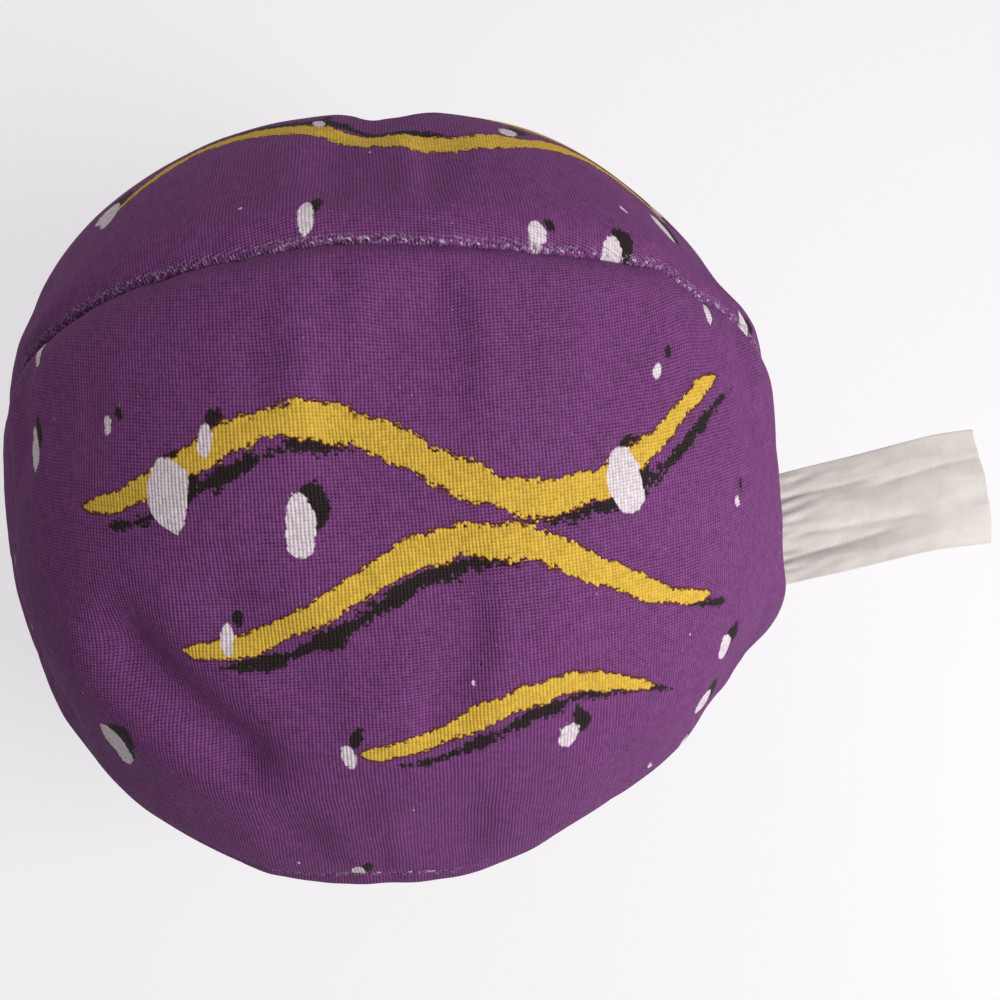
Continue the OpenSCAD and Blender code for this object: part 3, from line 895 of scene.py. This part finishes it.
def knitMaterial():
    material, shader, wire = newMaterial("printedKnit")
    uv, u, v = flatCoords(wire, "flatPattern")
    seam = wire.make("ShaderNodeAttribute", {"attribute_name": "seamReach"}, None, out=2)
    turn = wire.make("ShaderNodeAttribute", {"attribute_name": "panelTurn"}, None, out=2)
    scale = knit["grain"]
    # loops of the knit
    column = (u + (grain(uv, scale["wander"], 1.0) - 0.5) * knit["wander"]) / knit["wale"]
    row = (v + (grain(uv, scale["sag"], 1.0) - 0.5) * knit["sag"]) / knit["course"]
    looped = row + abs(column.part() - 0.5) * knit["leg"]
    ridge = 1 - swing(column)
    beat = swing(looped)
    hole = (1 - ridge) ** knit["holePowers"][0] * (1 - beat) ** knit["holePowers"][1]
    height = ridge * (beat * 0.5 + 0.5) - hole * knit["hole"]
    cell = wire.make("ShaderNodeCombineXYZ", None, {0: math.floor(column), 1: math.floor(looped), 2: turn})
    loop = wire.make("ShaderNodeTexWhiteNoise", {"noise_dimensions": "3D"}, {"Vector": cell})
    slackSeam = seam.ramp(*knit["slackReach"]) * knit["slackSeam"]
    slack = grain(uv, scale["slack"]).ramp(*knit["slackRange"]).most(slackSeam)
    # print, mirrored on every second panel, each mask in metres inside the ink's edge
    place = v * (1 - turn % 2.0 * 2)
    rag = (grain(uv, scale["rag"], 4.0, 0.62) - 0.5) * knit["ragged"] + (loop - 0.5) * knit["raggedLoop"]
    lit = bandMask(u, place, turn, rag)
    shadeRag = rag * knit["bandShadeRag"][0] + knit["bandShadeRag"][1]
    dark = bandMask(u + knit["bandShade"][0], place - knit["bandShade"][1], turn, shadeRag)
    spotU = u + (grain(uv, scale["warpU"], 1.0) - 0.5) * knit["spotWarp"][0]
    spotV = v + (grain(uv, scale["warpV"], 1.0) - 0.5) * knit["spotWarp"][1]
    spot = spotMask(spotU, spotV) + rag * knit["spotRag"]
    spotShade = spotMask(spotU + knit["spotShade"][0], spotV + knit["spotShade"][1])
    spotShade = spotShade + rag * knit["spotShadeRag"][0] + knit["spotShadeRag"][1]
    soft = knit["inkEdge"]
    yellow = lit.ramp(*knit["bandEdge"])
    white = spot.ramp(-soft, soft)
    colour = dark.most(spotShade).ramp(-soft, soft).colour(knit["purple"], knit["charcoal"])
    colour = lit.ramp(*knit["rimEdge"]).colour(colour, knit["rim"])
    colour = yellow.colour(colour, knit["mustard"])
    colour = white.colour(colour, knit["white"])
    # flecks and lint, and painted shade: the loops' colour darkened in the gaps between them
    flecks = grain(inSpace(wire), scale["fleck"], 2.0, 0.65).ramp(*knit["fleckRange"])
    fleck = seam.ramp(*knit["fleckReach"]) * flecks * knit["fleckMost"]
    lint = grain(uv, scale["lint"], 1.0).ramp(*knit["lintRange"]) * knit["lintMost"]
    colour = fleck.most(lint).colour(colour, knit["fleck"])
    courseGap = (1 - beat) ** knit["gapPowers"][0]
    waleGap = (1 - ridge) ** knit["gapPowers"][1]
    gapShade = courseGap * (slack * knit["courseGap"][0] + knit["courseGap"][1])
    gapShade = gapShade + waleGap * (slack * knit["waleGap"][0] + knit["waleGap"][1])
    gapShade = gapShade + courseGap * waleGap * knit["bothGap"]
    mottle = (grain(uv, scale["mottle"], 3.0, 0.65) - 0.5) * knit["mottle"]
    # painted shade: darker in the gaps between loops, more where the knit is slack, less on ink; mottle is
    # random tone
    light = knit["light"] - gapShade * (1 - yellow.most(white) * knit["gapOnInk"])
    light = light + mottle + (loop - 0.5) * knit["loopMottle"]
    join(light.shaded(colour), shader, "Base Color")
    join(knit["rough"] + ridge * knit["ridgeRough"] + hole * knit["holeRough"], shader, "Roughness")
    pile = grain(uv, scale["pile"], 2.0, 0.7) * knit["pile"]
    joinBump(height + pile, shader, knit["bump"])
    shader.inputs["Sheen Weight"].default_value = 0.03
    shader.inputs["Sheen Roughness"].default_value = 0.4
    shader.inputs["Sheen Tint"].default_value = knit["sheen"]
    shader.inputs["Specular IOR Level"].default_value = 0.12
    return material


# plied thread with a little fluff, painted shade darkening the grooves between the plies
thread = {
    "ply": 0.5 * mm, "plies": 2, "plyPale": 0.5, "fluff": 900.0, "fluffPale": 0.3, "bump": (0.6, 0.08 * mm),
    "rough": 0.75, "plyRough": -0.15, "dark": tint(168, 146, 176), "pale": tint(238, 230, 240),
}


def threadMaterial():
    material, shader, wire = newMaterial("seamThread")
    uv, run, around = flatCoords(wire, "threadRun")
    ply = swing(run / thread["ply"] + around * thread["plies"])
    pale = ply * thread["plyPale"] + grain(uv, thread["fluff"]) * thread["fluffPale"]
    # painted shade: the colour is darker in the grooves between the plies, where the bump is low
    join(pale.colour(thread["dark"], thread["pale"]), shader, "Base Color")
    join(thread["rough"] + ply * thread["plyRough"], shader, "Roughness")
    joinBump(ply, shader, thread["bump"])
    shader.inputs["Sheen Weight"].default_value = 0.2
    return material


# satin ribbon, faintly stained, with a denser selvedge and painted shade between the warp ribs
ribbon = {
    "warp": 0.34 * mm, "stain": 130.0, "fibre": 1400.0, "selvedge": (12.1 * mm, 12.7 * mm),
    "light": 0.97, "warpLight": 0.03, "stainLight": 0.1, "fibreLight": 0.12, "selvedgeLight": -0.05,
    "stainRange": (0.35, 0.7), "rough": 0.5, "stainRough": 0.15, "bump": (0.4, 0.04 * mm), "warpBump": 0.5,
    "pale": tint(231, 224, 217), "stained": tint(218, 210, 203),
}


def ribbonMaterial():
    material, shader, wire = newMaterial("satinRibbon")
    uv, _, across = flatCoords(wire, "flatPattern")
    warp = swing(across / ribbon["warp"])
    stain = grain(uv, ribbon["stain"], 3.0, 0.6)
    fibre = grain(uv, ribbon["fibre"], 1.0)
    selvedge = abs(across).ramp(*ribbon["selvedge"])
    # painted shade: a little darker between the warp ribs, where the bump is low; stain, fibre and selvedge
    # are the ribbon's own tone
    light = ribbon["light"] + warp * ribbon["warpLight"] + selvedge * ribbon["selvedgeLight"]
    light = light + (stain - 0.5) * ribbon["stainLight"] + (fibre - 0.5) * ribbon["fibreLight"]
    colour = stain.ramp(*ribbon["stainRange"]).colour(ribbon["pale"], ribbon["stained"])
    join(light.shaded(colour), shader, "Base Color")
    join(ribbon["rough"] + stain * ribbon["stainRough"], shader, "Roughness")
    joinBump(warp * ribbon["warpBump"] + fibre, shader, ribbon["bump"])
    shader.inputs["Sheen Weight"].default_value = 0.1
    shader.inputs["Specular IOR Level"].default_value = 0.4
    return material


# nonwoven web of the bag, fibres bonded at small dots
web = {
    "fibre": 700.0, "bond": 600.0, "fibrePale": 0.7, "bondPale": 0.3, "rough": 0.8, "fibreRough": 0.15,
    "bump": (0.4, 0.05 * mm), "dark": tint(214, 211, 203), "pale": tint(245, 243, 238),
}


def bagMaterial():
    material, shader, wire = newMaterial("bagCloth")
    place = inSpace(wire)
    fibre = grain(place, web["fibre"], 4.0, 0.7)
    bond = wire.make("ShaderNodeTexVoronoi", None, {"Vector": place, "Scale": web["bond"]})
    pale = fibre * web["fibrePale"] + bond * web["bondPale"]
    join(pale.colour(web["dark"], web["pale"]), shader, "Base Color")
    join(web["rough"] + fibre * web["fibreRough"], shader, "Roughness")
    joinBump(bond, shader, web["bump"])
    return material


# foam beads, with painted shade darker between one and the next
foam = {
    "edge": (0.2, 0.7), "rough": 0.6, "edgeRough": 0.3, "bump": (0.7, 0.8 * mm),
    "pale": tint(250, 250, 248), "dark": tint(206, 205, 200),
}


def beadMaterial():
    material, shader, wire = newMaterial("foamBeads")
    bead = wire.make("ShaderNodeTexVoronoi", None, {"Vector": inSpace(wire), "Scale": 1 / filling["bead"]})
    # painted shade: the colour darkens towards the edge of each bead, where the bump is low
    join(bead.ramp(*foam["edge"]).colour(foam["pale"], foam["dark"]), shader, "Base Color")
    join(foam["rough"] + bead * foam["edgeRough"], shader, "Roughness")
    joinBump(1 - bead, shader, foam["bump"])
    return material


finishes = [
    (knitMaterial(), panelPieces),
    (threadMaterial(), [*seamThreads, closingStitch, seamFibres]),
    (ribbonMaterial(), [ribbonLabel]),
    (bagMaterial(), [*bagPieces, bagThread]),
    (beadMaterial(), [beads]),
]
for finish, pieces in finishes:
    for piece in pieces:
        piece.data.materials.clear()
        piece.data.materials.append(finish)
print("materials made")

# floor, light and camera; the camera's distance and shifts are in girth radii
stage = {
    "floorSize": 4.0, "floor": tint(238, 236, 238), "shadowed": tint(168, 167, 168),
    "bounce": tint(225, 223, 225), "black": (0, 0, 0, 1), "glow": 0.73, "rough": 0.9, "shine": 0.1,
    "sky": 0.23, "backdrop": 0.9, "skyColour": (1.0, 1.0, 1.0, 1.0),
    "key": {"at": (0.35, -0.17, 0.462), "size": 0.28, "power": 2.27},
    "fill": {"at": (-0.45, 0.7, 0.25), "size": 0.6, "power": 1.4},
}
view = {
    "away": 2.8, "elevation": 80.0, "roll": 0.065, "right": 0.274, "up": -0.017,
    "lens": 36.2, "sensor": 36, "near": 0.01,
}

bpy.ops.object.select_all(action="DESELECT")
bpy.ops.mesh.primitive_plane_add(size=stage["floorSize"], location=(0, 0, 0))
floor = bpy.context.active_object
floor.name = "floor"
floorFinish, floorShader, floorWire = newMaterial("paleFloor")
ray = floorWire.make("ShaderNodeLightPath")
direct = ray.most(ray.other("Is Glossy Ray"))
join(direct.colour(stage["bounce"], stage["shadowed"]), floorShader, "Base Color")
join(direct.colour(stage["black"], stage["floor"]), floorShader, "Emission Color")
floorShader.inputs["Emission Strength"].default_value = stage["glow"]
floorShader.inputs["Roughness"].default_value = stage["rough"]
floorShader.inputs["Specular IOR Level"].default_value = stage["shine"]
floor.data.materials.append(floorFinish)

world = bpy.data.worlds.new("studio")
scene.world = world
world.use_nodes = True
background = world.node_tree.nodes["Background"]
sky = Wire(world.node_tree).make("ShaderNodeLightPath")
join(stage["sky"] + sky * (stage["backdrop"] - stage["sky"]), background, "Strength")
background.inputs["Color"].default_value = stage["skyColour"]
target = Vector(ballMiddle)
for name in ("key", "fill"):
    lamp = bpy.data.lights.new(name, "AREA")
    lamp.energy = stage[name]["power"]
    lamp.size = stage[name]["size"]
    lampObject = bpy.data.objects.new(name, lamp)
    scene.collection.objects.link(lampObject)
    lampObject.location = stage[name]["at"]
    lampObject.visible_camera = False
    lampObject.rotation_euler = (target - lampObject.location).to_track_quat("-Z", "Y").to_euler()

tilt = math.radians(view["elevation"])
level = Vector((1, 0, 0))
upward = Vector((0, math.sin(tilt), math.cos(tilt)))
back = Vector((0, -math.cos(tilt), math.sin(tilt)))
rightward = math.cos(view["roll"]) * level - math.sin(view["roll"]) * upward
overhead = math.sin(view["roll"]) * level + math.cos(view["roll"]) * upward
eye = target + view["away"] * ball["girthR"] * back
aim = target + ball["girthR"] * (view["right"] * rightward + view["up"] * overhead)
forward = (aim - eye).normalized()
side = (rightward - rightward.dot(forward) * forward).normalized()
top = side.cross(forward)
camera = bpy.data.cameras.new("camera")
camera.lens = view["lens"]
camera.sensor_width = view["sensor"]
camera.clip_start = view["near"]
cameraObject = bpy.data.objects.new("camera", camera)
scene.collection.objects.link(cameraObject)
turned = Matrix((side, top, -forward)).transposed().to_4x4()
cameraObject.matrix_world = Matrix.Translation(eye) @ turned
scene.camera = cameraObject
scene.view_settings.view_transform = "Standard"
print("stage set")
